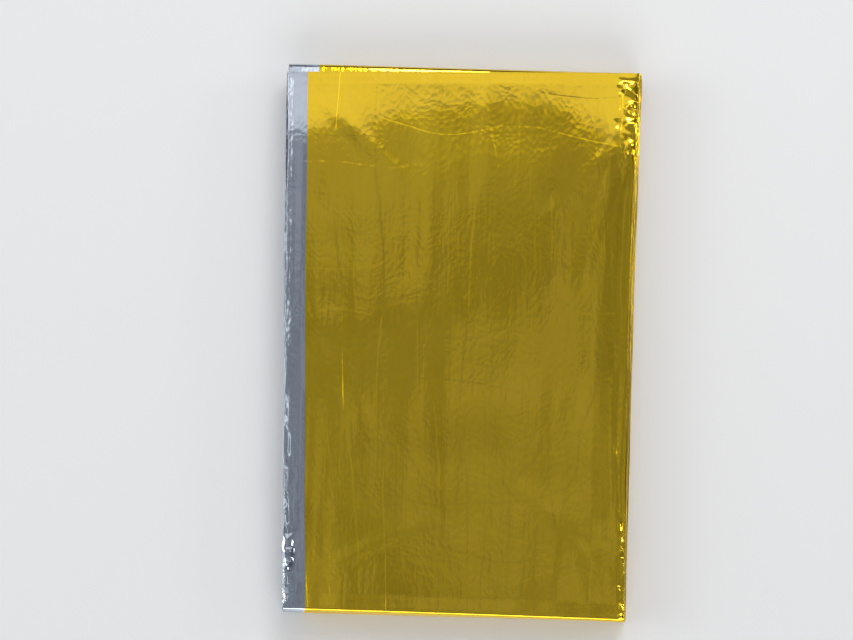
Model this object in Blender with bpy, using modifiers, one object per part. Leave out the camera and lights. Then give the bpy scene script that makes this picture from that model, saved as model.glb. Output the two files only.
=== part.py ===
"""Emergency foil blanket, folded flat: one piece of gold and silver film, 1.6 x 2.1 m when open.

The film is folded back and forth across its width into a strip twelve plies thick, and the strip is
folded back and forth along its length into ten layers. Here the strip is one solid sheet, so each of
its layers stands for twelve plies of film with the air between them. The sheet is modelled open, as
the surface midway through its thickness, and Solidify gives it the thickness.

The blanket lies on its back: +X runs to the right of its face, +Y to its top edge and +Z out of its
face. The origin is the middle of its footprint, on the surface that it lies on. Units are metres.
"""

import math
from collections import namedtuple

import bmesh
import bpy

MM = 0.001

# The folded strip
LAYERS = 10
LAYER_THICKNESS = 1.25 * MM
LAYER_PITCH = 1.70 * MM
FOLD_RADIUS = LAYER_PITCH / 2
LOWEST_MIDDLE = LAYER_THICKNESS / 2

# How finely the sheet is divided
STEPS_ACROSS = 11
STEPS_PER_LAYER = 9
STEPS_PER_FOLD = 6

# Where the strip turns back, from its free end on the face to its free end underneath. Each row gives
# how far the turn reaches at its left and right side, and where the strip's left and right edges are.
Turn = namedtuple("Turn", "where reach_left reach_right left right")
TURNS = [
    Turn("free end on the face", 101.3, 104.0, -68.0, 67.0),
    Turn("foot, layers 1 and 2", -103.4, -104.6, -63.2, 63.8),
    Turn("head, layers 2 and 3", 105.4, 104.7, -67.4, 67.3),
    Turn("foot, layers 3 and 4", -102.6, -104.0, -62.9, 64.2),
    Turn("head, layers 4 and 5", 104.0, 104.9, -66.6, 67.8),
    Turn("foot, layers 5 and 6", -103.9, -104.4, -63.7, 64.7),
    Turn("head, layers 6 and 7", 103.7, 104.2, -67.2, 68.2),
    Turn("foot, layers 7 and 8", -103.0, -103.8, -63.3, 65.0),
    Turn("head, layers 8 and 9", 104.4, 104.0, -66.4, 68.4),
    Turn("foot, layers 9 and 10", -103.6, -104.2, -64.0, 65.2),
    Turn("free end underneath", 102.6, 103.2, -66.8, 68.0),
]

# How far each layer's sides bow outwards half way along, as the plies inside it spread or pull in
Bow = namedtuple("Bow", "left right")
BOWS = [
    Bow(0.2, -1.2),
    Bow(-0.3, -1.1),
    Bow(0.4, -0.9),
    Bow(-0.4, -1.1),
    Bow(0.2, -0.8),
    Bow(-0.2, -1.0),
    Bow(0.4, -0.7),
    Bow(0.1, -1.0),
    Bow(-0.5, -0.8),
    Bow(0.2, -0.9),
]

# Where the stack is fuller or pressed thinner: rise is a share of the height above the lowest layer
Swell = namedtuple("Swell", "where x y reach_x reach_y rise")
SWELLS = [
    Swell("full middle", -8.0, 10.0, 48.0, 70.0, 0.045),
    Swell("right side, pressed", 68.0, -10.0, 9.0, 90.0, -0.085),
    Swell("upper right corner", 62.0, 101.0, 18.0, 14.0, -0.050),
    Swell("upper left corner", -64.0, 102.0, 24.0, 15.0, -0.055),
    Swell("lower left corner", -62.0, -96.0, 22.0, 20.0, -0.060),
    Swell("lower right corner", 60.0, -98.0, 18.0, 20.0, -0.070),
    Swell("hollow above the foot", 16.0, -58.0, 34.0, 26.0, -0.035),
]

GOLD = (0.83, 0.58, 0.06, 1.0)


def clear_scene():
    for old in list(bpy.data.objects):
        bpy.data.objects.remove(old)


def collection_named(name):
    collection = bpy.data.collections.new(name)
    bpy.context.scene.collection.children.link(collection)
    return collection


def film_material():
    material = bpy.data.materials.new("gold_film")
    material.use_nodes = True
    shader = material.node_tree.nodes["Principled BSDF"]
    shader.inputs["Base Color"].default_value = GOLD
    shader.inputs["Metallic"].default_value = 1.0
    shader.inputs["Roughness"].default_value = 0.22
    return material


def between(start, end, share):
    return start + (end - start) * share


def is_foot(turn):
    """The strip starts at the head, so every second turn is at the foot."""
    return turn % 2 == 1


def height_of(layer):
    """The middle of a layer's thickness. Layer 0 is the face and the last one lies on the surface."""
    return LOWEST_MIDDLE + (LAYERS - 1 - layer) * LAYER_PITCH


def reach(turn, across):
    row = TURNS[turn]
    return between(row.reach_left, row.reach_right, across) * MM


def straight_end(turn, across):
    """Where the flat part of a layer ends: at a free end, or where the strip starts to bend."""
    if turn in (0, LAYERS):
        return reach(turn, across)
    inward = 1 if is_foot(turn) else -1
    return reach(turn, across) + inward * (FOLD_RADIUS + LAYER_THICKNESS / 2)


def side_to_side(left, right, across):
    return between(left, right, across) * MM


def layer_point(layer, along, across):
    first, last, bow = TURNS[layer], TURNS[layer + 1], BOWS[layer]
    belly = 4 * along * (1 - along)
    left = between(first.left, last.left, along) - bow.left * belly
    right = between(first.right, last.right, along) + bow.right * belly
    y = between(straight_end(layer, across), straight_end(layer + 1, across), along)
    return side_to_side(left, right, across), y, height_of(layer)


def fold_point(turn, along, across):
    """A half circle from the layer above to the layer below."""
    row, angle = TURNS[turn], math.pi * along
    outward = -1 if is_foot(turn) else 1
    y = straight_end(turn, across) + outward * FOLD_RADIUS * math.sin(angle)
    z = height_of(turn) + FOLD_RADIUS * (1 + math.cos(angle))
    return side_to_side(row.left, row.right, across), y, z


def settled(x, y, z):
    """Presses or fills the stack by SWELLS. The lowest layer stays flat."""
    rise = 0.0
    for swell in SWELLS:
        dx = (x / MM - swell.x) / swell.reach_x
        dy = (y / MM - swell.y) / swell.reach_y
        rise += swell.rise * math.exp(-dx * dx - dy * dy)
    return x, y, z + (z - LOWEST_MIDDLE) * rise


def rows_of_strip():
    """Each row of the sheet along the strip, as the function that places it, its number and how far."""
    rows = []
    for layer in range(LAYERS):
        steps = range(STEPS_PER_LAYER + 1)
        rows += [(layer_point, layer, step / STEPS_PER_LAYER) for step in steps]
        if layer < LAYERS - 1:
            inner = range(1, STEPS_PER_FOLD)
            rows += [(fold_point, layer + 1, step / STEPS_PER_FOLD) for step in inner]
    return rows


def folded_sheet():
    """A flat grid, each of whose points is moved to its place on the folded strip."""
    rows = rows_of_strip()
    mesh = bmesh.new()
    bmesh.ops.create_grid(
        mesh, x_segments=STEPS_ACROSS, y_segments=len(rows) - 1, size=1.0
    )
    for vertex in mesh.verts:
        across = (vertex.co.x + 1) / 2
        place, number, along = rows[round((vertex.co.y + 1) / 2 * (len(rows) - 1))]
        vertex.co = settled(*place(number, along, across))
    bmesh.ops.recalc_face_normals(mesh, faces=mesh.faces)
    return mesh


def centred(mesh):
    """Moves the footprint's middle to the origin."""
    for axis in (0, 1):
        places = [vertex.co[axis] for vertex in mesh.verts]
        middle = (min(places) + max(places)) / 2
        for vertex in mesh.verts:
            vertex.co[axis] -= middle


def foil_blanket(collection):
    sheet = folded_sheet()
    centred(sheet)
    mesh = bpy.data.meshes.new("foil_blanket")
    sheet.to_mesh(mesh)
    sheet.free()
    mesh.materials.append(film_material())
    mesh.shade_smooth()
    mesh.set_sharp_from_angle(angle=math.radians(50))
    blanket = bpy.data.objects.new("foil_blanket", mesh)
    collection.objects.link(blanket)
    thickness = blanket.modifiers.new("thickness", "SOLIDIFY")
    thickness.thickness = LAYER_THICKNESS
    thickness.offset = 0.0
    thickness.use_even_offset = True
    thickness.use_quality_normals = True
    return blanket


def main():
    clear_scene()
    foil_blanket(collection_named("emergency_foil_blanket"))


main()
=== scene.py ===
# %% [markdown]
# An emergency foil blanket, folded flat.
#
# The real thing is one sheet of very thin plastic film, 1.6 by 2.1 metres. Metal has been laid on
# both faces, gold on one and silver on the other. A machine folds it back and forth across its width
# into twelve plies, and then back and forth along its length into ten layers. What is left is a
# packet about as large as a paperback book, and about 17 mm thick.
#
# This script builds the whole film, every ply of it, and folds it as the machine does. The plain
# solid that comes with the frame stays hidden, and serves for weight and collision only.

# %% Load the frame
import math
from collections import namedtuple

import bpy
import numpy as np
from mathutils import Euler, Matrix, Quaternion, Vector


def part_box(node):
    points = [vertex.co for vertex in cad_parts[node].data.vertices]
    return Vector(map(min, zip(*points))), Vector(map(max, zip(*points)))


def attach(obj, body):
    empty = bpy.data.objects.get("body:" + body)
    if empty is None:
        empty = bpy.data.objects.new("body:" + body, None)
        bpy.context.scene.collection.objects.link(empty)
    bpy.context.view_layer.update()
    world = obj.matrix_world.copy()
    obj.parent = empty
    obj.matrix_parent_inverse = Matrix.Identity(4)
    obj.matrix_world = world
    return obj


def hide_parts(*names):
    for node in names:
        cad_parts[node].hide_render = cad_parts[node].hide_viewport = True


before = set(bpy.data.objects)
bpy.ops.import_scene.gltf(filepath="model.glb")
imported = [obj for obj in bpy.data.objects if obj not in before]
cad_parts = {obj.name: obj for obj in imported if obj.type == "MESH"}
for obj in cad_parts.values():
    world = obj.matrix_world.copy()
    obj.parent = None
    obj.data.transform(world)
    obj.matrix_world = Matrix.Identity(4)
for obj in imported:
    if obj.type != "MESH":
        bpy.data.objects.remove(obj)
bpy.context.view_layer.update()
SOLID = "foil_blanket"
solid_low, solid_high = (np.array(corner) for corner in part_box(SOLID))
print("the solid measures", np.round((solid_high - solid_low) * 1000, 1), "mm")

# %% [markdown]
# Every size is a name. The film's own size and the number of plies and layers fix nearly all of the
# rest. Plies lie about an eighth of a millimetre apart. The film itself is thinner still, but a
# surface thinner than about two hundredths of a millimetre is hard on a renderer, so it is a little
# thicker here than the real twelve thousandths. A fold's blunt tip stands out by a tenth.

# %% Driving sizes
MM = 0.001
FILM_WIDTH, FILM_LENGTH = 1.6, 2.1
PLIES, LAYERS = 12, 10
PLY_PITCH = 0.122 * MM
LAYER_PITCH = 1.70 * MM
TURN_RADIUS = LAYER_PITCH / 2
LAYER_THICKNESS = 1.25 * MM
LOWEST_MIDDLE = LAYER_THICKNESS / 2
FILM_THICKNESS = 0.02 * MM
FOLD_TIP = 0.10 * MM
print("the film is folded in", PLIES, "across its width and in", LAYERS, "along its length")

# %% [markdown]
# The packet isn't square and even, and that is what makes it look real. Each row of the first table
# is one place where the folded strip turns back: how far it reaches on the left and on the right, and
# where its two sides are. The second table bows the sides of each layer, and the third fills the
# stack out or presses it down. They are the sizes that the solid was built from, in millimetres.

# %% The strip's turns, bows and swells
Turn = namedtuple("Turn", "where reach_left reach_right left right")
TURNS = [
    Turn("free end on the face", 101.3, 104.0, -68.0, 67.0),
    Turn("foot, layers 1 and 2", -103.4, -104.6, -63.2, 63.8),
    Turn("head, layers 2 and 3", 105.4, 104.7, -67.4, 67.3),
    Turn("foot, layers 3 and 4", -102.6, -104.0, -62.9, 64.2),
    Turn("head, layers 4 and 5", 104.0, 104.9, -66.6, 67.8),
    Turn("foot, layers 5 and 6", -103.9, -104.4, -63.7, 64.7),
    Turn("head, layers 6 and 7", 103.7, 104.2, -67.2, 68.2),
    Turn("foot, layers 7 and 8", -103.0, -103.8, -63.3, 65.0),
    Turn("head, layers 8 and 9", 104.4, 104.0, -66.4, 68.4),
    Turn("foot, layers 9 and 10", -103.6, -104.2, -64.0, 65.2),
    Turn("free end underneath", 102.6, 103.2, -66.8, 68.0),
]

Bow = namedtuple("Bow", "left right")
BOWS = [
    Bow(0.2, -1.2),
    Bow(-0.3, -1.1),
    Bow(0.4, -0.9),
    Bow(-0.4, -1.1),
    Bow(0.2, -0.8),
    Bow(-0.2, -1.0),
    Bow(0.4, -0.7),
    Bow(0.1, -1.0),
    Bow(-0.5, -0.8),
    Bow(0.2, -0.9),
]

Swell = namedtuple("Swell", "where x y reach_x reach_y rise")
SWELLS = [
    Swell("full middle", -8.0, 10.0, 48.0, 70.0, 0.045),
    Swell("right side, pressed", 68.0, -10.0, 9.0, 90.0, -0.085),
    Swell("upper right corner", 62.0, 101.0, 18.0, 14.0, -0.050),
    Swell("upper left corner", -64.0, 102.0, 24.0, 15.0, -0.055),
    Swell("lower left corner", -62.0, -96.0, 22.0, 20.0, -0.060),
    Swell("lower right corner", 60.0, -98.0, 18.0, 20.0, -0.070),
    Swell("hollow above the foot", 16.0, -58.0, 34.0, 26.0, -0.035),
]
print(len(TURNS) - 2, "turns between", LAYERS, "layers")

# %% [markdown]
# The film is drawn flat first, as a net of rows and columns, because a flat net is easy to reason
# about. Most of it ends up hidden inside the packet, so the net is coarse there. Only one corner of
# the film shows on the face, the first ply of the first layer, and with it a strip of the next ply's
# silver side. There the net is fine enough to take creases.
#
# A column is either on the flat of a ply, at some share of the way along it, or on the fold between
# two plies, at some angle round it. `fine` says in how many steps the stretch to the next column is
# divided in the fine corner.

# %% Columns of the net
Column = namedtuple("Column", "ply share angle fine")


def flat_columns(ply, shares, fine):
    """Columns on one ply. Even plies run from left to right and odd ones come back."""
    run = zip(shares, fine)
    return [Column(ply, share if ply % 2 == 0 else 1 - share, None, n) for share, n in run]


FOLD_STEPS = 2


def fold_columns(ply, fine=1):
    """Columns round the fold from this ply to the next."""
    return [Column(ply, None, math.pi * step / FOLD_STEPS, fine) for step in range(FOLD_STEPS)]


FACE_SHARES = (0.0, 0.012, 0.05, 0.20, 0.45, 0.70, 0.88, 0.935, 0.985)
FACE_FINE = (2, 4, 9, 12, 12, 10, 12, 16, 5)
SECOND_SHARES = (0.0, 0.20, 0.80, 0.90, 0.955, 0.985)
SECOND_FINE = (1, 1, 2, 7, 8, 4)
INNER_SHARES = (0.0, 0.2, 0.8)
LAST_SHARES = (0.0, 0.20, 0.80, 0.90, 0.95, 1.0)
FACE_FOLD_FINE = 3

columns = flat_columns(0, FACE_SHARES, FACE_FINE) + fold_columns(0, FACE_FOLD_FINE)
columns += flat_columns(1, SECOND_SHARES, SECOND_FINE) + fold_columns(1, FACE_FOLD_FINE)
fine_corner_columns = len(columns)
for ply in range(2, PLIES - 1):
    columns += flat_columns(ply, INNER_SHARES, [1] * len(INNER_SHARES)) + fold_columns(ply)
columns += flat_columns(PLIES - 1, LAST_SHARES, [1] * len(LAST_SHARES))
print(len(columns), "columns, of which", fine_corner_columns, "are in the fine corner")

# %% [markdown]
# Rows run along the strip in the same way: on the flat of a layer, or round the turn to the next. The
# top layers have more of them than the rest, because their sides can be seen. On the face they are
# closest near the head and the foot, where the film is crushed most.

# %% Rows of the net
Row = namedtuple("Row", "layer along angle fine")
ROWS_A_TOP_LAYER, ROWS_A_LAYER, ROWS_A_TURN = 32, 24, 5
TOP_LAYERS = 3
HEAD_ROWS, FOOT_ROWS = 5, 5
HEAD_FINE, MIDDLE_FINE, FOOT_FINE, TURN_FINE = 15, 4, 12, 2

rows = []
for layer in range(LAYERS):
    steps = ROWS_A_TOP_LAYER if layer < TOP_LAYERS else ROWS_A_LAYER
    for step in range(steps):
        fine = HEAD_FINE if step < HEAD_ROWS else MIDDLE_FINE
        fine = FOOT_FINE if step >= steps - FOOT_ROWS else fine
        rows.append(Row(layer, step / steps, None, fine))
    if layer < LAYERS - 1:
        angles = [math.pi * step / ROWS_A_TURN for step in range(ROWS_A_TURN)]
        rows += [Row(layer, None, angle, TURN_FINE) for angle in angles]
    if layer == 0:
        fine_corner_rows = len(rows)
rows.append(Row(LAYERS - 1, 1.0, None, 1))
print(len(rows), "rows, of which", fine_corner_rows, "are in the fine corner")

# %% [markdown]
# A line of the net is a number, and the fine lines lie between two of the coarse ones. So a place in
# the net is just a pair of numbers, such as 3.25 columns across and 17.5 rows along, and whatever is
# tabled for the coarse lines can be read in between.
#
# Where the fine corner meets the coarse net, the coarse faces take the fine points on that side as
# corners of their own. Without that the film would have slits there.

# %% The flat net


def line_numbers(lines, count):
    """Fine line numbers over the first `count` coarse lines, and then the coarse ones."""
    found = []
    for i in range(count):
        found += [i + step / lines[i].fine for step in range(lines[i].fine)]
    return np.array(found + list(range(count, len(lines))), float)


across_lines = line_numbers(columns, fine_corner_columns)
along_lines = line_numbers(rows, fine_corner_rows)
coarse_across = [i for i, x in enumerate(across_lines) if x == int(x)]
coarse_along = [i for i, x in enumerate(along_lines) if x == int(x)]
last_fine_across = coarse_across[fine_corner_columns]
last_fine_along = coarse_along[fine_corner_rows]

whole_across, whole_along = set(coarse_across), set(coarse_along)
number_of = {}
for j in range(len(along_lines)):
    for i in range(len(across_lines)):
        fine_here = i <= last_fine_across and j <= last_fine_along
        if fine_here or (i in whole_across and j in whole_along):
            number_of[i, j] = len(number_of)

faces = []
for j in range(last_fine_along):
    for i in range(last_fine_across):
        ring = [(i, j), (i, j + 1), (i + 1, j + 1), (i + 1, j)]
        faces.append([number_of[spot] for spot in ring])
for j, j_next in zip(coarse_along, coarse_along[1:]):
    for i, i_next in zip(coarse_across, coarse_across[1:]):
        if i_next <= last_fine_across and j_next <= last_fine_along:
            continue
        near = range(i, i_next) if j == last_fine_along and i < last_fine_across else [i]
        side = range(j_next, j, -1) if i == last_fine_across and j < last_fine_along else [j_next]
        ring = [(k, j) for k in near] + [(i_next, j), (i_next, j_next)] + [(i, k) for k in side]
        faces.append([number_of[spot] for spot in reversed(ring)])

spots = np.array(list(number_of))
across_at, along_at = across_lines[spots[:, 0]], along_lines[spots[:, 1]]
print(len(spots), "points and", len(faces), "faces in the flat net")

# %% [markdown]
# No two folds of a real packet end at the same place, and no film lies quite flat. Two helpers give
# that. `wander` is a smooth random line, and `ripples` is the same over an area: a number of waves
# added together, whose crests run near one direction. Their seeds are fixed, so every run is alike.

# %% Uneven lines and surfaces


def wander(at, seed, size, longest, shortest, waves=6):
    """A smooth random line along `at`, about `size` high. Lengths are in metres."""
    random = np.random.default_rng(seed)
    total = np.zeros_like(at)
    for wave in range(waves):
        length = longest * (shortest / longest) ** (wave / (waves - 1))
        start = random.uniform(0, 2 * math.pi)
        strength = random.normal(0, 1) * (length / longest) ** 0.5
        total += strength * np.sin(2 * math.pi * at / length + start)
    return size * total / math.sqrt(waves)


def ripples(x, y, seed, size, longest, shortest, lean=0.0, spread=0.15, waves=24):
    """Waves over an area. Their crests run along Y, but for `lean` and a random `spread` (radians)."""
    random = np.random.default_rng(seed)
    total = np.zeros_like(x)
    for wave in range(waves):
        length = longest * (shortest / longest) ** (wave / (waves - 1))
        turn = lean + random.normal(0, spread)
        start = random.uniform(0, 2 * math.pi)
        across = x * math.cos(turn) + y * math.sin(turn)
        total += (length / longest) * np.sin(2 * math.pi * across / length + start)
    return size * total / math.sqrt(waves / 4)


def smooth_step(value):
    """From 0 to 1, with a soft start and a soft end."""
    value = np.clip(value, 0, 1)
    return value * value * (3 - 2 * value)


print("a wandering line:", np.round(wander(np.linspace(0, 0.2, 5), 1, 1.0, 0.2, 0.05), 2))

# %% [markdown]
# Now the rows. For each point of the net this works out where along the strip it lies: the layer it
# is on, how far along it is, and, at a turn, the angle. Then come the two sides of the strip there.
# Everything is an array with one number for each point, which is far quicker than a loop.

# %% Where each point is along the strip
row_now = np.minimum(along_at.astype(int), len(rows) - 1)
row_next = np.minimum(row_now + 1, len(rows) - 1)
part = along_at - row_now

row_layer = np.array([row.layer for row in rows])
row_turns = np.array([row.angle is not None for row in rows])
row_along = np.array([1.0 if row.along is None else row.along for row in rows])
row_angle = np.array([0.0 if row.angle is None else row.angle for row in rows])

layer_at, turning = row_layer[row_now], row_turns[row_now]
same_layer = row_layer[row_next] == layer_at
along = row_along[row_now] * (1 - part) + np.where(same_layer, row_along[row_next], 1.0) * part
end_angle = np.where(row_turns[row_next] & same_layer, row_angle[row_next], math.pi)
angle = np.where(turning, row_angle[row_now] * (1 - part) + end_angle * part, 0.0)
turned = angle / math.pi
run = (layer_at + along) * FILM_LENGTH / LAYERS

reach_left, reach_right, side_left, side_right = (np.array([row[1:] for row in TURNS]) * MM).T
bow_left, bow_right = np.array(BOWS).T * MM
belly = 4 * along * (1 - along)


def side_line(side, bow):
    straight = side[layer_at] * (1 - along) + side[layer_at + 1] * along
    return straight + bow[layer_at] * belly


strip_left, strip_right = side_line(side_left, -bow_left), side_line(side_right, bow_right)
print("the strip is", round(float((strip_right - strip_left).mean() / MM), 1), "mm wide on average")

# %% [markdown]
# Then the columns. Each fold between two plies has its own line along the strip: the strip's side,
# plus its own offset, its wander and a finer crimp. On the right side the plies also step outwards as
# they go down, which is why so many parallel gold lines show there from above. On the left they step
# out by less.
#
# Gold folds are on the right and silver ones on the left. The two cut edges of the film are on the
# left too, set back from the silver folds, so that a strip of silver shows beside the gold face. On
# the real packet the silver fold is crushed outwards in a few places near the foot.

# %% The lines of the folds
FOLD_WANDER, FOLD_OFFSET, FOLD_CRIMP, STEP_OUT = 0.30 * MM, 0.32 * MM, 0.10 * MM, 0.9 * MM
FREE_EDGE_FACE, FREE_EDGE_BACK, FREE_EDGE_WANDER = 8.0 * MM, 11.6 * MM, 0.35 * MM
FOLD_WAVES, CRIMP_WAVES, FREE_EDGE_WAVES = (0.30, 0.045), (0.040, 0.013), (0.25, 0.05)
LEFT_STEP_SHARE = 0.4

Bulge = namedtuple("Bulge", "y reach out")
SILVER_BULGES = [
    Bulge(-82.5, 4.2, 1.0),
    Bulge(-75.0, 1.6, 0.35),
    Bulge(-100.5, 2.2, -0.5),
    Bulge(-102.8, 1.0, 0.8),
    Bulge(-57.0, 3.0, -0.3),
    Bulge(-44.0, 5.0, 0.3),
]

ROUGH_LENGTH, LAYERS_BULGED, BULGE_FADE = 207.0, 1.5, 0.8
y_rough = np.where(layer_at % 2 == 0, 1 - along, along) * ROUGH_LENGTH - ROUGH_LENGTH / 2
top_of_stack = np.exp(-layer_at / LAYERS_BULGED)
bulging = np.zeros(len(spots))
for bulge in SILVER_BULGES:
    bulging += bulge.out * MM * np.exp(-(((y_rough - bulge.y) / bulge.reach) ** 2))

fold_line = np.zeros((PLIES - 1, len(spots)))
for fold in range(PLIES - 1):
    own = np.random.default_rng(40 + fold).uniform(-1, 1) * FOLD_OFFSET
    own = own + wander(run, 60 + fold, FOLD_WANDER, *FOLD_WAVES)
    own = own + wander(run, 80 + fold, FOLD_CRIMP, *CRIMP_WAVES)
    depth = np.where(layer_at % 2 == 0, fold, PLIES - 2 - fold) / (PLIES - 2)
    step_out = STEP_OUT * (depth - 0.5) * np.sqrt(belly)
    if fold % 2 == 0:
        fold_line[fold] = strip_right + own + step_out
    else:
        bulge_here = bulging * top_of_stack * (1 - BULGE_FADE * depth)
        fold_line[fold] = strip_left + own - LEFT_STEP_SHARE * step_out - bulge_here
free_face = strip_left + FREE_EDGE_FACE + wander(run, 7, FREE_EDGE_WANDER, *FREE_EDGE_WAVES)
free_back = strip_left + FREE_EDGE_BACK + wander(run, 8, FREE_EDGE_WANDER, *FREE_EDGE_WAVES)
print(PLIES - 1, "folds between the plies, gold ones on the right and silver ones on the left")

# %% [markdown]
# With the lines of the folds known, each point gets its place across the strip and its height over
# the strip's middle. Round a fold the film makes a half circle that is drawn out to a blunt tip.
# Near both sides the plies spread apart a little, because a crease in film never closes fully.

# %% Where each point is across the strip
SIDE_SPREAD, SPREAD_REACH = 0.22, 9.0


def ply_height(ply):
    """A ply's height over the middle of the strip, towards the film's first ply."""
    return ((PLIES - 1) / 2 - ply) * PLY_PITCH


def ply_sides(ply):
    """The left and right ends of a ply's flat, for every point."""
    right = fold_line[ply if ply % 2 == 0 else ply - 1] - FOLD_TIP
    if ply == 0:
        return free_face, right
    if ply == PLIES - 1:
        return free_back, right
    return fold_line[ply - 1 if ply % 2 == 0 else ply] + FOLD_TIP, right


column_now = np.minimum(across_at.astype(int), len(columns) - 1)
column_next = np.minimum(column_now + 1, len(columns) - 1)
part = across_at - column_now
column_ply = np.array([column.ply for column in columns])
column_folds = np.array([column.angle is not None for column in columns])
column_share = np.array([column.share or 0.0 for column in columns])
column_angle = np.array([column.angle or 0.0 for column in columns])

ply_at, folding = column_ply[column_now], column_folds[column_now]
same_ply = column_ply[column_next] == ply_at
on_flat = same_ply & ~column_folds[column_next]
x, height, bend = (np.zeros(len(spots)) for _ in range(3))
for ply in range(PLIES):
    left, right = ply_sides(ply)
    forward = ply % 2 == 0
    here = (ply_at == ply) & ~folding
    end_share = np.where(on_flat, column_share[column_next], 1.0 if forward else 0.0)
    share = column_share[column_now] * (1 - part) + end_share * part
    x[here] = (left + (right - left) * share)[here]
    height[here] = ply_height(ply)

    here = (ply_at == ply) & folding
    end_bend = np.where(same_ply, column_angle[column_next], math.pi)
    bend[here] = (column_angle[column_now] * (1 - part) + end_bend * part)[here]
    tip = (right if forward else left) + (1 if forward else -1) * FOLD_TIP * np.sin(bend)
    x[here] = tip[here]
    height[here] = (ply_height(ply) - PLY_PITCH / 2 * (1 - np.cos(bend)))[here]

from_side = np.minimum(strip_right - x, x - strip_left) / MM
height *= 1 + SIDE_SPREAD * smooth_step((SPREAD_REACH - from_side) / SPREAD_REACH)
print("across the strip, points lie from", round(x.min() / MM, 1), "to", round(x.max() / MM, 1), "mm")

# %% [markdown]
# Now the point can be put in the packet. On the flat of a layer it lies at that layer's height, which
# wavers a little, so that some layers gape at the sides and others touch. At a turn it goes round a
# half circle, wider for the plies outside and narrower for those inside. The film's two cut ends are
# staggered, ply by ply. Behind the free end on the face, the next turn stands up a little at its left.

# %% Fold the film
END_STAGGER, FACE_END_LIMIT = 0.5 * MM, 0.3 * MM
END_WANDER, END_WAVES = 0.25 * MM, (0.12, 0.02)
LAYER_WAVER, WAVER_STRENGTH, WAVER_WAVES, WAVER_SPREAD = 0.15 * MM, 1.2, (0.09, 0.022), 0.5
HEAD_FULLNESS, HEAD_FULL_REACH, HEAD_FULL_SHARE = 0.32 * MM, 3.2, 0.5
ACROSS = math.pi / 2


def layer_height(layer):
    return LOWEST_MIDDLE + (LAYERS - 1 - layer) * LAYER_PITCH


width_share = np.clip((x - strip_left) / (strip_right - strip_left), 0, 1)


def flat_end(turn):
    """Where the flat of a layer ends: at a cut end, or where the bend starts."""
    reach = reach_left[turn] + (reach_right[turn] - reach_left[turn]) * width_share
    inward = np.where(turn % 2 == 1, 1.0, -1.0) * (TURN_RADIUS + LAYER_THICKNESS / 2)
    return reach + np.where((turn == 0) | (turn == LAYERS), 0.0, inward)


stagger = np.random.default_rng(5).uniform(-1, 1, PLIES)[ply_at] * END_STAGGER
stagger += wander(x, 9, END_WANDER, *END_WAVES)
start, stop = flat_end(layer_at), flat_end(layer_at + 1)
start = start + np.where(layer_at == 0, np.minimum(stagger, FACE_END_LIMIT), 0.0)
stop = stop + np.where(layer_at == LAYERS - 1, stagger, 0.0)

upwards = np.where(layer_at % 2 == 0, height, -height)
outward = np.where((layer_at + 1) % 2 == 1, -1.0, 1.0)
radius = TURN_RADIUS + upwards
turn_middle = layer_height(layer_at + 1) + TURN_RADIUS
y = np.where(turning, stop + outward * radius * np.sin(angle), start + (stop - start) * along)
z = np.where(turning, turn_middle + radius * np.cos(angle), layer_height(layer_at) + upwards)

waver = np.zeros((LAYERS + 1, len(spots)))
for layer in range(1, LAYERS - 1):
    wavy = ripples(x, y, 200 + layer, WAVER_STRENGTH, *WAVER_WAVES, ACROSS, WAVER_SPREAD)
    waver[layer] = LAYER_WAVER * np.tanh(wavy)
full = np.where(layer_at == 1, smooth_step(1 - (stop - y) / MM / HEAD_FULL_REACH), 0)
full = full * np.maximum(np.cos(angle), 0) * smooth_step(1 - width_share / HEAD_FULL_SHARE)
z = z + HEAD_FULLNESS * full
each = np.arange(len(spots))
z = z + waver[layer_at, each] * (1 - turned) + waver[layer_at + 1, each] * turned
folded_length, folded_height = (y.max() - y.min()) / MM, z.max() / MM
print("folded, it is", round(folded_length, 1), "mm long and", round(folded_height, 1), "high")

# %% [markdown]
# The stack is pressed and filled by the same table as the solid. A hidden ply has only a few columns
# and is straight between them, so there the swell is read at those columns alone. That keeps the
# plies from cutting through each other. The top ply follows the swell itself, but stays above them.

# %% Press the stack
PRESSED_AT = (0.0, 0.2, 0.8, 1.0)
stack_x, stack_y = x / MM, y / MM


def swelling(at_x):
    """The rise at a place. A corner stays pressed from the swell's middle right out to its point."""
    total = np.zeros(len(spots))
    for swell in SWELLS:
        off_x, off_y = at_x - swell.x, stack_y - swell.y
        if "corner" in swell.where:
            off_x = np.where(off_x * swell.x > 0, 0, off_x)
            off_y = np.where(off_y * swell.y > 0, 0, off_y)
        total += swell.rise * np.exp(-((off_x / swell.reach_x) ** 2) - (off_y / swell.reach_y) ** 2)
    return total


steps = [swelling((strip_left + (strip_right - strip_left) * share) / MM) for share in PRESSED_AT]
stack_rise = np.zeros(len(spots))
for first, last, low, high in zip(PRESSED_AT, PRESSED_AT[1:], steps, steps[1:]):
    here = (width_share >= first) & (width_share <= last)
    stack_rise[here] = (low + (high - low) * (width_share - first) / (last - first))[here]
over_stack = (z - LOWEST_MIDDLE) * (swelling(stack_x) - stack_rise) / MM
z = z + (z - LOWEST_MIDDLE) * stack_rise
print("pressed, it is", round(z.max() / MM, 1), "mm high")

# %% [markdown]
# Only the top ply is loose enough to crease, and it can only rise from the one below. So its relief is
# worked out as a lift, which is never less than nothing. `loose` says where the film may lift: fully
# on the face, less and less round the folds at its sides, and again on the open strip of silver.
#
# The lift has four parts: a slight billow, long ripples, the creases, and a fine crumple in the places
# where the film was crushed.

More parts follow.
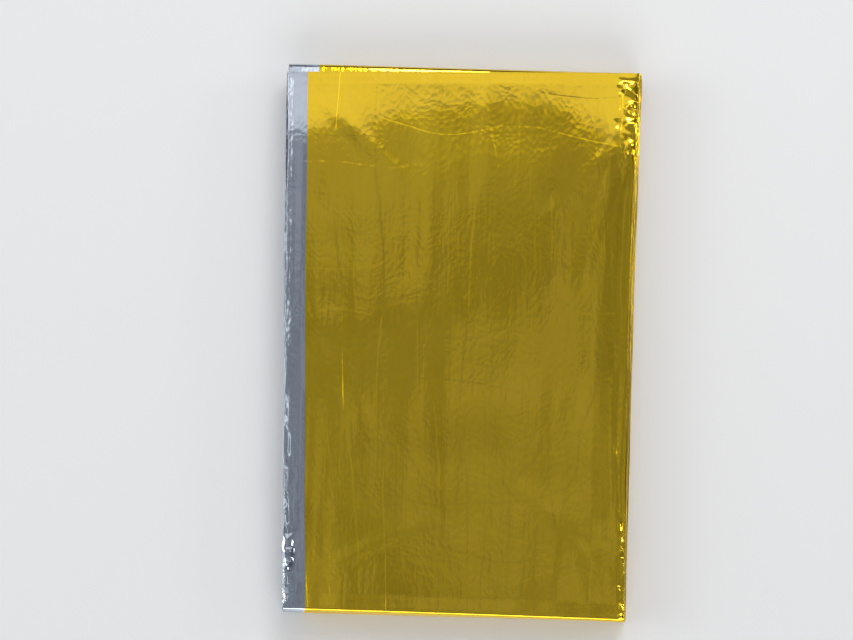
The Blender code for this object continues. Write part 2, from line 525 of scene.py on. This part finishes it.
# %% Where the film may lift
on_face = (layer_at == 0) & (ply_at == 0)
on_strip = (layer_at == 0) & (ply_at == 1)
EDGE_HOLDS = 0.3
open_strip = smooth_step((free_face - x) / MM - EDGE_HOLDS)
round_fold = np.cos(bend / 2) ** 2
face_part = np.where(on_face, np.where(folding, round_fold, 1.0), 0.0)
strip_part = np.where(on_strip, np.where(folding, round_fold, open_strip), 0.0)
loose = (face_part + strip_part) * np.maximum(np.cos(angle), 0)
to_fold = np.where(on_face, fold_line[0] - x, x - fold_line[1]) / MM
to_end, to_foot = (start - y) / MM, (y - stop) / MM
print(int((loose > 0.5).sum()), "points may lift")

# %% [markdown]
# Foil creases when it is crushed, and the creases stay. On the real packet the largest are in the
# upper right corner. Noise can't put large creases where they belong, so they are placed one by one:
# where each starts and ends, measured from the middle of the packet, how wide one of its flanks is,
# and how high it stands, all in millimetres. A height below nothing makes a trough.

# %% Creases in the upper right corner
Crease = namedtuple("Crease", "x1 y1 x2 y2 width height")
CRUSHED_CORNER = [
    Crease(58.8, 101.2, 68.4, 101.0, 1.2, -0.20),
    Crease(61.0, 98.6, 68.4, 94.5, 2.3, 0.46),
    Crease(59.7, 98.6, 59.8, 96.4, 1.3, -0.30),
    Crease(59.6, 95.8, 59.5, 90.0, 0.8, -0.20),
    Crease(61.4, 89.8, 64.0, 92.4, 1.1, 0.26),
    Crease(64.4, 92.4, 67.2, 90.4, 1.1, 0.28),
    Crease(67.1, 89.8, 65.0, 86.9, 1.0, 0.26),
    Crease(64.4, 86.9, 61.4, 89.4, 1.0, 0.24),
    Crease(62.0, 86.9, 67.0, 86.9, 0.8, -0.20),
    Crease(62.4, 84.2, 66.8, 84.7, 1.6, 0.34),
    Crease(58.9, 85.4, 58.9, 83.0, 1.2, -0.28),
    Crease(60.6, 82.2, 60.8, 74.6, 0.8, 0.22),
    Crease(65.7, 85.0, 65.9, 75.0, 1.2, 0.40),
    Crease(63.0, 82.0, 63.4, 78.2, 1.4, -0.16),
    Crease(62.2, 76.8, 62.6, 69.8, 0.8, 0.30),
    Crease(63.9, 77.4, 64.0, 70.6, 0.8, 0.30),
    Crease(65.2, 75.6, 65.4, 68.0, 0.8, 0.14),
]
print(len(CRUSHED_CORNER), "creases in the upper right corner")

# %% [markdown]
# Below the corner the right side is nearly smooth. Two lines run down it, so low that they only bend
# what the film mirrors, and near the foot there are a few small creases.

# %% Creases lower on the right side
LOWER_RIGHT = [
    Crease(61.0, 81.0, 61.4, 20.0, 0.8, 0.016),
    Crease(61.4, 24.0, 62.4, -44.0, 0.8, 0.016),
    Crease(59.6, -37.0, 59.8, -42.0, 0.7, 0.10),
    Crease(61.8, -66.6, 61.9, -70.2, 0.8, 0.22),
    Crease(61.4, -76.0, 63.9, -80.4, 0.8, 0.24),
    Crease(63.8, -75.8, 61.4, -80.6, 0.8, 0.22),
    Crease(63.3, -81.4, 63.6, -88.8, 1.2, 0.30),
    Crease(61.6, -91.0, 63.8, -92.6, 0.7, -0.16),
    Crease(62.2, -98.2, 63.0, -100.6, 0.8, 0.30),
    Crease(64.0, -99.8, 63.2, -102.6, 0.9, 0.34),
    Crease(61.8, -102.2, 64.4, -103.6, 0.9, 0.30),
    Crease(62.2, -101.2, 63.6, -101.0, 0.6, -0.20),
]
print(len(LOWER_RIGHT), "creases lower on the right side")

# %% [markdown]
# The silver side was crushed in a row of places from its middle down to the foot. The two wide ridges
# meet end to end and make the largest of them, which is the brightest patch of silver.

# %% Creases on the silver side
SILVER_SIDE = [
    Crease(-65.0, -36.5, -64.8, -39.4, 0.8, 0.30),
    Crease(-65.0, -41.0, -64.8, -42.6, 0.7, 0.26),
    Crease(-64.9, -44.6, -64.6, -45.8, 0.7, 0.30),
    Crease(-64.8, -47.4, -63.6, -48.4, 0.8, 0.30),
    Crease(-63.4, -37.0, -63.2, -46.0, 1.2, -0.22),
    Crease(-64.8, -50.0, -64.3, -56.4, 0.7, 0.24),
    Crease(-64.3, -56.6, -61.4, -62.0, 0.8, 0.30),
    Crease(-63.8, -62.6, -63.5, -70.0, 1.2, -0.22),
    Crease(-62.2, -64.4, -61.6, -71.6, 1.0, 0.16),
    Crease(-63.0, -72.4, -61.8, -74.4, 0.8, 0.24),
    Crease(-62.4, -75.8, -62.2, -82.0, 2.6, 0.60),
    Crease(-62.2, -81.0, -62.0, -88.2, 2.6, 0.60),
    Crease(-61.8, -87.4, -60.8, -84.4, 0.8, 0.30),
    Crease(-62.8, -87.4, -61.2, -89.4, 0.8, -0.26),
    Crease(-63.5, -88.0, -63.3, -94.4, 0.7, 0.34),
    Crease(-63.0, -93.8, -60.2, -94.0, 0.6, 0.24),
    Crease(-63.2, -95.2, -62.7, -98.4, 0.9, 0.40),
    Crease(-62.4, -96.8, -60.0, -97.0, 0.6, 0.24),
    Crease(-62.4, -99.2, -61.2, -99.8, 0.9, 0.34),
    Crease(-62.2, -101.4, -60.8, -102.4, 1.1, -0.32),
    Crease(-63.6, -99.8, -62.8, -103.2, 0.7, 0.30),
]
print(len(SILVER_SIDE), "creases on the silver side")

# %% [markdown]
# The rest of the face has only long, soft creases, a tenth of a millimetre high. They bend what the
# film mirrors, so that the face doesn't look like a flat plate.

# %% Long, soft creases
LONG_AND_SOFT = [
    Crease(58.0, 76.0, 30.0, 44.0, 3.4, 0.09),
    Crease(60.0, 74.0, 44.0, 18.0, 3.6, 0.09),
    Crease(-54.0, 92.0, -20.0, 58.0, 4.2, 0.10),
    Crease(-57.0, 20.0, -30.0, -44.0, 4.6, 0.10),
    Crease(61.0, -84.0, 20.0, -52.0, 4.0, 0.09),
    Crease(-55.0, -92.0, -8.0, -66.0, 4.4, 0.10),
    Crease(6.0, 30.0, 14.0, -40.0, 5.0, 0.08),
]
print(len(LONG_AND_SOFT), "long, soft creases")

# %% [markdown]
# A crease is shaped like a hipped roof, with flat flanks, flat ends and a narrow round top. Flat flanks
# matter, because each of them mirrors one part of the room and so lights up as a whole, as in crushed
# foil. A rounded ridge would mirror a little of everything.

# %% Raise the creases
RIDGE_ROUND, RIDGE_TOP = 0.1, 1.05
TIP_START, TIP_SHARE = 0.5, 0.3
CREASES = CRUSHED_CORNER + LOWER_RIGHT + SILVER_SIDE + LONG_AND_SOFT


def crease_height(crease):
    """How high a crease stands, at every point. A longer crease has longer slopes at its ends."""
    run_x, run_y = crease.x2 - crease.x1, crease.y2 - crease.y1
    length = math.hypot(run_x, run_y)
    off_x, off_y = stack_x - crease.x1, stack_y - crease.y1
    to_tip = (off_x * run_x + off_y * run_y) / length
    to_tip = np.minimum(to_tip, length - to_tip) + TIP_START * crease.width
    tip = to_tip / max(crease.width, TIP_SHARE * length)
    aside = (off_x * run_y - off_y * run_x) / length
    flank = RIDGE_TOP - np.sqrt(aside**2 + (RIDGE_ROUND * crease.width) ** 2) / crease.width
    return crease.height * np.clip(np.minimum(flank, tip), 0, 1)


lift = np.zeros(len(spots))
for crease in CREASES:
    lift += crease_height(crease)
print(len(CREASES), "creases are placed")

# %% [markdown]
# The crushed places are given as soft patches: in each of them the film stands a little off the ply
# below, and carries a fine crumple. The billow and the ripples are all over the face. Every part fades
# out towards the fold, where the film is held, and the whole lift is kept above nothing.

# %% Billow, ripples and crumple
Patch = namedtuple("Patch", "x y reach_x reach_y height")
PATCHES = [
    Patch(64.0, 86.5, 4.6, 21.0, 0.42),
    Patch(63.0, -79.0, 4.0, 9.0, 0.16),
    Patch(63.6, -101.0, 2.4, 3.4, 0.24),
    Patch(-62.8, -82.0, 3.2, 9.0, 0.30),
    Patch(-62.4, -97.0, 2.4, 7.0, 0.20),
    Patch(-63.6, -50.0, 2.4, 16.0, 0.14),
]
patch = np.zeros(len(spots))
for place in PATCHES:
    away = ((stack_x - place.x) / place.reach_x) ** 2 + ((stack_y - place.y) / place.reach_y) ** 2
    patch += place.height * np.exp(-(away**2))

FACE_BILLOW, STRIP_BILLOW, BILLOW_AT_ENDS = 0.30, 0.10, 0.35
CRUMPLE_SHARE = 0.15
BILLOW_FADE, BILLOW_HEAD_FADE, BILLOW_FOOT_FADE = 3.5, 5, 6
PATCH_FADE, RIPPLE_FADE, STACK_FADE = 1.2, 2.5, 6
STACK_SOFTNESS, LIFT_SOFTNESS = 0.2, 0.05


def soft_floor(value, softness):
    """The value where it is above nothing, and nothing elsewhere, with a soft bend between."""
    return 0.5 * (value + np.sqrt(value**2 + softness**2))


crumple = np.abs(ripples(x, y, 31, 1.0, longest=0.011, shortest=0.004, lean=0.8, spread=1.2, waves=30))
other = np.abs(ripples(x, y, 32, 1.0, longest=0.009, shortest=0.0035, lean=-0.5, spread=1.2, waves=30))
crumple = 0.5 * crumple + 0.5 * other
streaks = ripples(x, y, 33, 0.05, longest=0.034, shortest=0.006, lean=0.0, spread=0.07, waves=30)
cross = ripples(x, y, 34, 0.016, longest=0.045, shortest=0.018, lean=ACROSS, spread=0.4, waves=16)

ends = smooth_step(to_end / BILLOW_HEAD_FADE) * smooth_step(to_foot / BILLOW_FOOT_FADE)
billow = np.where(on_face, FACE_BILLOW, STRIP_BILLOW) * smooth_step(to_fold / BILLOW_FADE)
billow *= BILLOW_AT_ENDS + (1 - BILLOW_AT_ENDS) * ends
lift += patch * (1 - CRUMPLE_SHARE + CRUMPLE_SHARE * crumple) * smooth_step(to_fold / PATCH_FADE)
lift += billow + (streaks + cross) * smooth_step(to_fold / RIPPLE_FADE)
lift += soft_floor(over_stack, STACK_SOFTNESS) * smooth_step(to_fold / STACK_FADE)
lift = soft_floor(lift, LIFT_SOFTNESS)
z = z + lift * MM * loose
print("the film lifts by up to", round(float((lift * loose).max()), 2), "mm")

# %% [markdown]
# The finest facets of crushed foil are too small for a mesh, so the finish adds them. It has to know
# where. `crushed` tells it, from 0 to 1, for every point: most at the silver folds, some at the turns,
# at the gold folds and in the patches, and a little everywhere.

# %% How crushed each point is
CRUSHED_EVERYWHERE, CRUSHED_AT_TURNS = 0.08, 0.10
CRUSHED_GOLD_PATCH, CRUSHED_SILVER_PATCH = 0.15, 0.30
CRUSHED_GOLD_FOLD, CRUSHED_SILVER_FOLD = 0.06, 0.22
GOLD_FOLD_REACH, SILVER_FOLD_REACH = 1.6, 2.6

left_fold = smooth_step(1 - (x - strip_left) / MM / SILVER_FOLD_REACH)
right_fold = smooth_step(1 - (strip_right - x) / MM / GOLD_FOLD_REACH)
crushed = CRUSHED_EVERYWHERE + np.where(x > 0, CRUSHED_GOLD_PATCH, CRUSHED_SILVER_PATCH) * patch * loose
crushed = crushed + CRUSHED_SILVER_FOLD * left_fold + CRUSHED_GOLD_FOLD * right_fold
crushed = np.clip(crushed + CRUSHED_AT_TURNS * turning, 0, 1)
print("crushed by", round(float(crushed.mean()), 2), "on average")

# %% [markdown]
# The points are placed so that the packet lies where its solid does, and the mesh is made. Its map
# for a texture comes straight from the net: a point's line numbers are its place on the map, so the
# fine corner gets the most room.

# %% Make the film
strip_middle = (side_left.min() + side_right.max()) / 2, (y.min() + y.max()) / 2
solid_middle = (solid_low + solid_high)[:2] / 2
x = x - strip_middle[0] + solid_middle[0]
y = y - strip_middle[1] + solid_middle[1]
z = z - z.min() + FILM_THICKNESS

open_film = bpy.data.meshes.new("open_film")
open_film.from_pydata(np.stack([x, y, z], 1).tolist(), [], faces)
open_film.shade_smooth()
film = bpy.data.objects.new("foil_film", open_film)
bpy.context.scene.collection.objects.link(film)

corner_points = np.zeros(len(open_film.loops), np.int32)
open_film.loops.foreach_get("vertex_index", corner_points)
film_map = (spots / spots.max(0))[corner_points]
open_film.uv_layers.new(name="OFBake").uv.foreach_set("vector", film_map.ravel())
crushed_layer = open_film.attributes.new("crushed", "FLOAT", "POINT")
crushed_layer.data.foreach_set("value", crushed.astype(np.float32))
print(len(open_film.polygons), "faces before the film has its thickness")

# %% [markdown]
# Both faces of the film share one set of fine crinkles, because a dent on one side is a bump on the
# other. A node group holds them: streaks down the film, soft facets, thin crease lines, a very fine
# grain, and the small sharp facets of the crushed places. It gives a height, in millimetres, which
# each material turns into a normal, and a slow mask for colour and gloss.
#
# A crease line is made from a cloudy noise: where the noise passes through its middle value the height
# steps from one level to the next, so it draws long, winding lines and leaves the film flat between.

# %% The crinkle group
# How often each kind of crinkle comes in a metre, along X, Y and Z
STREAK_RATE = (620.0, 22.0, 900.0)
FACET_RATE = (110.0, 42.0, 300.0)
CRUMPLE_RATE = (560.0, 430.0, 700.0)
GRAIN_RATE = (2600.0, 1900.0, 2600.0)
PATCH_RATE = (38.0, 22.0, 60.0)
DOWN_RATE, DOWN_WIDTH = (95.0, 9.0, 150.0), 0.016
OVER_RATE, OVER_WIDTH, OVER_SHARE = (17.0, 60.0, 90.0), 0.010, 0.4
BEND_RATE, BEND_SIZE = (90.0, 60.0, 90.0), (0.007, 0.012, 0.004)


def crinkle_group():
    group = bpy.data.node_groups.new("film_crinkle", "ShaderNodeTree")
    group.interface.new_socket("Vector", in_out="INPUT", socket_type="NodeSocketVector")
    for name in ("Crushed", "Streaks", "Facets", "Lines", "Crumple", "Grain"):
        group.interface.new_socket(name, in_out="INPUT", socket_type="NodeSocketFloat")
    for name in ("Height", "Patches"):
        group.interface.new_socket(name, in_out="OUTPUT", socket_type="NodeSocketFloat")
    nodes, links = group.nodes, group.links
    inside, outside = nodes.new("NodeGroupInput"), nodes.new("NodeGroupOutput")

    def result_of(kind, operation, a, b):
        node = nodes.new(kind)
        node.operation = operation
        for socket, value in zip(node.inputs, (a, b)):
            if isinstance(value, bpy.types.NodeSocket):
                links.new(value, socket)
            else:
                socket.default_value = value
        return node.outputs[0]

    def vector_math(operation, a, b):
        return result_of("ShaderNodeVectorMath", operation, a, b)

    def number_math(operation, a, b):
        return result_of("ShaderNodeMath", operation, a, b)

    def noise(vector, scale, detail, rough):
        node = nodes.new("ShaderNodeTexNoise")
        node.inputs["Scale"].default_value = 1.0
        node.inputs["Detail"].default_value = detail
        node.inputs["Roughness"].default_value = rough
        links.new(vector_math("MULTIPLY", vector, scale), node.inputs["Vector"])
        return node.outputs

    def crease_lines(vector, scale, width):
        step = nodes.new("ShaderNodeMapRange")
        step.interpolation_type = "SMOOTHSTEP"
        step.inputs["From Min"].default_value = 0.5 - width
        step.inputs["From Max"].default_value = 0.5 + width
        links.new(noise(vector, scale, 0.6, 0.4)["Fac"], step.inputs["Value"])
        return step.outputs["Result"]

    def cells(vector, scale, smoothness):
        node = nodes.new("ShaderNodeTexVoronoi")
        node.feature = "SMOOTH_F1"
        node.inputs["Scale"].default_value = 1.0
        node.inputs["Smoothness"].default_value = smoothness
        links.new(vector_math("MULTIPLY", vector, scale), node.inputs["Vector"])
        return node.outputs["Distance"]

    place = inside.outputs["Vector"]
    bent = noise(place, BEND_RATE, 1.0, 0.5)["Color"]
    bent = vector_math("ADD", place, vector_math("MULTIPLY", bent, BEND_SIZE))
    down = crease_lines(place, DOWN_RATE, DOWN_WIDTH)
    over = crease_lines(place, OVER_RATE, OVER_WIDTH)
    parts = {
        "Streaks": noise(place, STREAK_RATE, 3.0, 0.55)["Fac"],
        "Facets": cells(bent, FACET_RATE, 0.15),
        "Lines": number_math("ADD", down, number_math("MULTIPLY", over, OVER_SHARE)),
        "Crumple": number_math(
            "MULTIPLY", cells(bent, CRUMPLE_RATE, 0.08), inside.outputs["Crushed"]
        ),
        "Grain": noise(place, GRAIN_RATE, 2.0, 0.6)["Fac"],
    }
    total = 0.0
    for name, relief in parts.items():
        total = number_math("ADD", number_math("MULTIPLY", relief, inside.outputs[name]), total)
    links.new(total, outside.inputs["Height"])
    links.new(noise(place, PATCH_RATE, 2.0, 0.5)["Fac"], outside.inputs["Patches"])
    return group


crinkle = crinkle_group()
print("the crinkle group has", len(crinkle.nodes), "nodes")

# %% [markdown]
# Each face is metal seen through clear film. The metal gives the gold its colour: a strong yellow that
# turns olive where it mirrors a dark room. The silver's colours are darker and bluer than bare
# aluminium, which is painted shade laid evenly over the whole silver face. The film's own gloss is a
# coat, which mirrors a little white light over it, so the brightest glints are nearly white. The
# heights of the crinkles are in millimetres.

# %% Gold and silver
CRINKLES = {"Streaks": 0.026, "Facets": 0.050, "Lines": 0.020, "Crumple": 0.22, "Grain": 0.0005}
FINISH = {"Metallic": 1.0, "Coat Weight": 0.8, "Coat Roughness": 0.05, "Coat IOR": 1.5}
SMOOTHEST, ROUGHEST = 0.06, 0.13


def film_material(name, deep, light):
    material = bpy.data.materials.new(name)
    material.use_nodes = True
    nodes, links = material.node_tree.nodes, material.node_tree.links
    shader = nodes["Principled BSDF"]
    for socket, value in FINISH.items():
        shader.inputs[socket].default_value = value
    places = nodes.new("ShaderNodeTexCoord")
    group = nodes.new("ShaderNodeGroup")
    group.node_tree = crinkle
    links.new(places.outputs["Object"], group.inputs["Vector"])
    crushed_mask = nodes.new("ShaderNodeAttribute")
    crushed_mask.attribute_name = "crushed"
    links.new(crushed_mask.outputs["Fac"], group.inputs["Crushed"])
    for socket, value in CRINKLES.items():
        group.inputs[socket].default_value = value
    bump = nodes.new("ShaderNodeBump")
    bump.inputs["Strength"].default_value = 1.0
    bump.inputs["Distance"].default_value = MM
    links.new(group.outputs["Height"], bump.inputs["Height"])
    links.new(bump.outputs["Normal"], shader.inputs["Normal"])

    shade = nodes.new("ShaderNodeMix")
    shade.data_type = "RGBA"
    shade.inputs["A"].default_value = deep
    shade.inputs["B"].default_value = light
    links.new(group.outputs["Patches"], shade.inputs["Factor"])
    links.new(shade.outputs["Result"], shader.inputs["Base Color"])
    gloss = nodes.new("ShaderNodeMapRange")
    gloss.inputs["To Min"].default_value = SMOOTHEST
    gloss.inputs["To Max"].default_value = ROUGHEST
    links.new(group.outputs["Patches"], gloss.inputs["Value"])
    links.new(gloss.outputs["Result"], shader.inputs["Roughness"])
    return material


gold = film_material("gold_face", (0.91, 0.57, 0.004, 1), (0.94, 0.65, 0.010, 1))
# The silver colours hold painted shade: they are darker and bluer than bare aluminium.
silver = film_material("silver_face", (0.48, 0.54, 0.63, 1), (0.62, 0.68, 0.76, 1))
open_film.materials.append(gold)
open_film.materials.append(silver)
print("the film's materials are", [material.name for material in open_film.materials])

# %% [markdown]
# Solidify gives the film its two faces. Its material offset puts the next material in the list on
# the new face, so gold is on one side of the film and silver on the other. The result is kept as the
# mesh, because two things have to be set on it: the cut edge is sharp, and the silver face takes the
# right part of the texture map while the gold one keeps the left.

# %% Give the film its thickness
GOLD_PART, SILVER_PART = (0.0, 0.62), (0.64, 1.0)

shell = film.modifiers.new("thickness", "SOLIDIFY")
shell.thickness = FILM_THICKNESS
shell.offset = 0.0
shell.material_offset = 1
shell.material_offset_rim = 1
with_thickness = film.evaluated_get(bpy.context.evaluated_depsgraph_get())
film_mesh = bpy.data.meshes.new_from_object(with_thickness)
film.modifiers.clear()
film.data = film_mesh

side_of = np.zeros(len(film_mesh.polygons), np.int32)
side_of[len(faces) :] = 1
side_of[2 * len(faces) :] = 2
edges_of = np.zeros(len(film_mesh.loops), np.int32)
film_mesh.loops.foreach_get("edge_index", edges_of)
counts = np.zeros(len(film_mesh.polygons), np.int32)
film_mesh.polygons.foreach_get("loop_total", counts)
corner_side = np.repeat(side_of, counts)

cut_edge = np.zeros(len(film_mesh.edges), bool)
cut_edge[edges_of[corner_side == 2]] = True
film_mesh.attributes.new("sharp_edge", "BOOLEAN", "EDGE").data.foreach_set("value", cut_edge)

film_map = np.zeros(2 * len(film_mesh.loops))
film_mesh.uv_layers["OFBake"].uv.foreach_get("vector", film_map)
film_map = film_map.reshape(-1, 2)
first, last = (np.where(corner_side == 0, *part) for part in zip(GOLD_PART, SILVER_PART))
film_map[:, 0] = first + (last - first) * film_map[:, 0]
film_mesh.uv_layers["OFBake"].uv.foreach_set("vector", film_map.ravel())
print("the film is a closed shell of", int((counts - 2).sum()), "triangles")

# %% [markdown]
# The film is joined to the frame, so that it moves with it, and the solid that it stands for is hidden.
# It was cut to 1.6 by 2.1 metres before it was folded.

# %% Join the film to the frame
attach(film, "root")
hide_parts(SOLID)
print(film.name, "stands for", SOLID)

# %% [markdown]
# The stage is a pale, dull floor. It is plain, so that nothing but the packet draws the eye, and it
# takes the packet's own soft shadow.

# %% The floor
FLOOR_SIZE, FLOOR_ROUGHNESS = 8.0, 0.6
FLOOR_COLOUR = (0.96, 0.96, 0.955, 1)

bpy.ops.mesh.primitive_plane_add(size=FLOOR_SIZE)
floor = bpy.context.object
floor.name = "floor"
floor_material = bpy.data.materials.new("pale_floor")
floor_material.use_nodes = True
floor_shader = floor_material.node_tree.nodes["Principled BSDF"]
floor_shader.inputs["Base Color"].default_value = FLOOR_COLOUR
floor_shader.inputs["Roughness"].default_value = FLOOR_ROUGHNESS
floor.data.materials.append(floor_material)
print("the floor is", FLOOR_SIZE, "m wide")

# %% [markdown]
# The film is a mirror, so what it reflects matters more than what lights it. Overhead there is a dim
# stretch, which the face mirrors as olive gold. Behind the head is a large soft panel, and the top
# fifth of the face mirrors that as bright yellow. Beyond it is a dimmer one, and to its left a smaller
# one, which lights the silver end of the turn above the top edge. A long narrow one catches the
# crinkles on the left, those at both sides light the folds, and the one in front lights the floor.
#
# Six small bright boxes give the glints: one each for the turn above the top edge, the crushed corner,
# the right side near the foot and the silver side, and one far out on each side for the folds. Each is
# small and placed on its own, because a larger one would show as a white band across smooth film.

# %% The lights
Panel = namedtuple("Panel", "name place aim width height radiance colour")
WARM, COOL, PLAIN = (1.0, 0.985, 0.96), (0.97, 0.985, 1.0), (1.0, 1.0, 1.0)
PANELS = [
    Panel("head_panel", (0.15, 0.750, 1.65), (0.15, 0.750, 0.0), 2.6, 0.53, 0.56, WARM),
    Panel("head_fill", (0.15, 1.560, 1.65), (0.15, 1.560, 0.0), 2.6, 1.00, 0.40, WARM),
    Panel("left_strip", (-0.42, 0.40, 1.70), (-0.42, 0.40, 0.0), 0.10, 1.40, 0.9, PLAIN),
    Panel("left_panel", (-1.8, -0.2, 1.0), (0.0, 0.0, 0.0), 1.6, 1.2, 0.80, COOL),
    Panel("right_panel", (1.9, 0.1, 0.8), (0.0, 0.0, 0.0), 1.2, 0.8, 0.40, WARM),
    Panel("front_panel", (0.2, -2.0, 1.3), (0.0, 0.0, 0.0), 2.2, 1.2, 2.5, PLAIN),
    Panel("head_glint", (0.35, 0.97, 1.40), (0.35, 0.97, 0.0), 0.86, 0.24, 14.0, PLAIN),
    Panel("silver_panel", (-1.05, 0.95, 1.40), (-1.05, 0.95, 0.0), 1.02, 0.52, 0.80, PLAIN),
    Panel("corner_glint", (1.18, 0.41, 1.04), (0.06, 0.08, 0.0), 0.12, 0.16, 7.0, PLAIN),
    Panel("foot_glint", (0.92, -0.035, 1.35), (0.92, -0.035, 0.0), 0.24, 0.10, 7.0, PLAIN),
    Panel("silver_glint", (-1.15, -0.24, 1.10), (-0.06, -0.08, 0.0), 0.10, 0.40, 8.0, PLAIN),
    Panel("right_glint", (1.80, 0.45, 0.85), (0.0, 0.0, 0.0), 0.40, 0.32, 6.0, WARM),
    Panel("left_glint", (-1.70, 0.10, 0.95), (0.0, 0.0, 0.0), 0.60, 0.40, 4.0, COOL),
]


def area_light(panel):
    """A soft panel. The power is what its size and its brightness ask for."""
    data = bpy.data.lights.new(panel.name, "AREA")
    data.shape = "RECTANGLE"
    data.size, data.size_y = panel.width, panel.height
    data.energy = panel.radiance * math.pi * panel.width * panel.height
    data.color = panel.colour
    light = bpy.data.objects.new(panel.name, data)
    light.visible_camera = False
    bpy.context.scene.collection.objects.link(light)
    place, aim = (np.array(point, float) for point in (panel.place, panel.aim))
    light.location = place
    away = place - aim
    lean = math.acos(away[2] / np.linalg.norm(away))
    light.rotation_euler = (lean, 0, math.atan2(away[0], -away[1]))


for panel in PANELS:
    area_light(panel)
print(len(PANELS), "panels and boxes of light")

# %% [markdown]
# The room around the panels is light at the horizon, dim above it and a little lighter again right
# overhead. It has slow uneven tones, because in a perfectly even room film looks like painted metal.

# %% The room
LEVELS = {0.0: 0.55, 0.30: 0.16, 0.75: 0.12, 0.93: 0.27, 1.0: 0.29}
ROOM_TINT = (0.96, 1.0, 1.07)
CLOUD_SCALE, CLOUD_DETAIL = 12.0, 3.0
CLOUD_RANGE = {"From Min": 0.3, "From Max": 0.7, "To Min": 0.62, "To Max": 1.42}

world = bpy.data.worlds.new("dim_room")
bpy.context.scene.world = world
world.use_nodes = True
room_nodes, room_links = world.node_tree.nodes, world.node_tree.links
direction = room_nodes.new("ShaderNodeTexCoord")
split = room_nodes.new("ShaderNodeSeparateXYZ")
room_links.new(direction.outputs["Generated"], split.inputs[0])
tone = room_nodes.new("ShaderNodeValToRGB")
for _ in range(len(LEVELS) - 2):
    tone.color_ramp.elements.new(0.5)
for element, (height, level) in zip(tone.color_ramp.elements, LEVELS.items()):
    element.position = height
    element.color = (*(level * tint for tint in ROOM_TINT), 1)
room_links.new(split.outputs["Z"], tone.inputs["Fac"])
clouds = room_nodes.new("ShaderNodeTexNoise")
clouds.inputs["Scale"].default_value = CLOUD_SCALE
clouds.inputs["Detail"].default_value = CLOUD_DETAIL
room_links.new(direction.outputs["Generated"], clouds.inputs["Vector"])
cloud_tone = room_nodes.new("ShaderNodeMapRange")
for socket, value in CLOUD_RANGE.items():
    cloud_tone.inputs[socket].default_value = value
room_links.new(clouds.outputs["Fac"], cloud_tone.inputs["Value"])
product = room_nodes.new("ShaderNodeVectorMath")
product.operation = "MULTIPLY"
room_links.new(tone.outputs[0], product.inputs[0])
room_links.new(cloud_tone.outputs[0], product.inputs[1])
room_links.new(product.outputs[0], room_nodes["Background"].inputs["Color"])
bpy.context.scene.view_settings.view_transform = "Standard"
print("the room has", len(LEVELS), "tones from the horizon to right overhead")

# %% [markdown]
# The camera looks down at the face from a metre away, leans eight degrees towards the foot and is
# turned by a little more than one degree, as in the photograph. The lens is as long as it must be for
# one millimetre of the packet to measure 2.65 pixels.

# %% The camera
CAMERA_DISTANCE, CAMERA_TILT, CAMERA_TURN = 1.0, 8.0, 1.4
LOOK_AT = (-12.5 * MM, 6.5 * MM, 17.0 * MM)
PICTURE_WIDTH = 853
PIXELS_PER_MM, SENSOR = 2.65, 36.0

lens_data = bpy.data.cameras.new("camera")
lens_data.sensor_width = SENSOR
lens_data.lens = PIXELS_PER_MM / MM * CAMERA_DISTANCE * SENSOR / PICTURE_WIDTH
camera = bpy.data.objects.new("camera", lens_data)
tilt, turn = math.radians(CAMERA_TILT), math.radians(CAMERA_TURN)
camera.location = (
    LOOK_AT[0],
    LOOK_AT[1] - CAMERA_DISTANCE * math.sin(tilt),
    LOOK_AT[2] + CAMERA_DISTANCE * math.cos(tilt),
)
camera.rotation_mode = "QUATERNION"
camera.rotation_quaternion = Euler((tilt, 0, 0)).to_quaternion() @ Quaternion((0, 0, 1), turn)
bpy.context.scene.collection.objects.link(camera)
bpy.context.scene.camera = camera
print("the lens is", round(lens_data.lens), "mm long")
